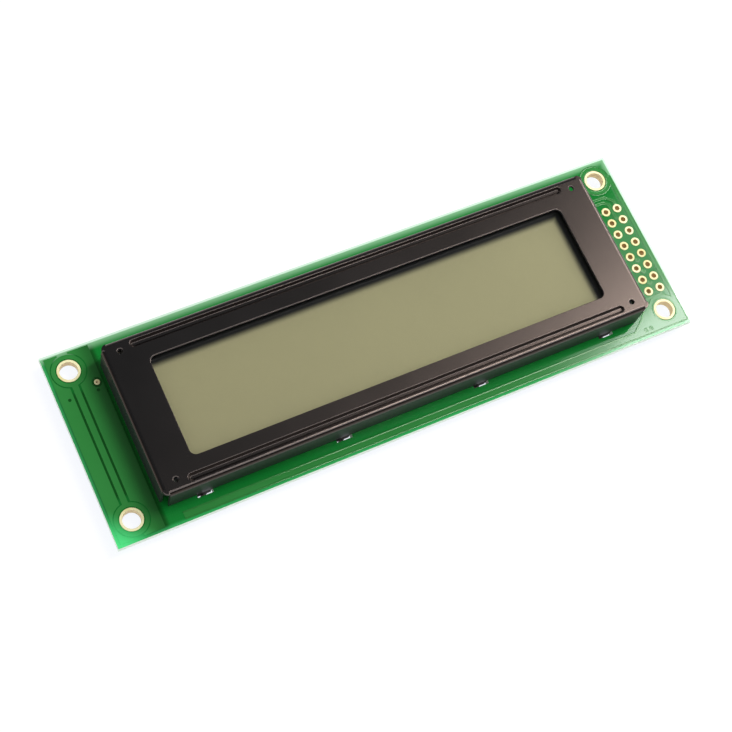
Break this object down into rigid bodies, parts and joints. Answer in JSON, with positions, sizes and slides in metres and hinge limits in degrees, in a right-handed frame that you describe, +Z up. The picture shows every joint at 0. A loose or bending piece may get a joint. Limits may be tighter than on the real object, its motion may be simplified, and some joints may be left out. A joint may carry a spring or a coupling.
{
  "type": "character lcd module",
  "caption": "Reflective character display module: a liquid crystal cell under a black pressed steel bezel, clamped with twisted tabs on a long green circuit board with corner mounting holes.",
  "frame": {"origin": "centre of the circuit board in plan, at the tips of the twisted bezel tabs on which the module rests", "axes": "+X along the board towards the connector end, +Y across the board, +Z up through the bezel, towards the viewer of the display"},
  "size_m": [0.116, 0.037, 0.0099],
  "materials": {
    "laminate": "green solder mask on glass-epoxy laminate",
    "bezel_steel": "satin black coating on thin pressed steel",
    "cell_glass": "clear polished sheet glass",
    "seal_epoxy": "cured epoxy line",
    "crystal_layer": "clear layer with a yellow-green tint",
    "port_resin": "amber resin bead",
    "polarizer_front": "anti-glare polarizer film",
    "polarizer_rear": "olive-grey polarizer film",
    "reflector_foil": "matt metallised foil",
    "striped_rubber": "silicone rubber with fine conducting layers",
    "holder_plastic": "moulded, off-white",
    "bare_contacts": "thin gold over nickel and copper",
    "plated_lands": "thin gold over nickel and copper",
    "masked_copper": "glossy green mask over copper",
    "blob_resin": "black potting resin",
    "resistor_ceramic": "black glaze on ceramic",
    "capacitor_ceramic": "tan ceramic",
    "tinned_metal": "bright tin solder"
  },
  "bodies": {
    "root": {"circuit_board": "laminate", "bezel": "bezel_steel", "front_glass": "cell_glass", "rear_glass": "cell_glass", "cell_seal": "seal_epoxy", "liquid_crystal": "crystal_layer", "fill_port_plug": "port_resin", "front_polarizer": "polarizer_front", "rear_polarizer": "polarizer_rear", "reflector": "reflector_foil", "elastomer_strips": "striped_rubber", "holder_frame": "holder_plastic", "contact_fingers": "bare_contacts", "mounting_hole_lands": "plated_lands", "header_hole_lands": "plated_lands", "test_via_land": "plated_lands", "front_copper": "masked_copper", "back_copper": "masked_copper", "controller_blob": "blob_resin", "driver_blob": "blob_resin", "chip_resistors": "resistor_ceramic", "chip_capacitors": "capacitor_ceramic", "chip_terminals": "tinned_metal", "solder_fillets": "tinned_metal", "segment_vias": "masked_copper"}
  },
  "joints": []
}
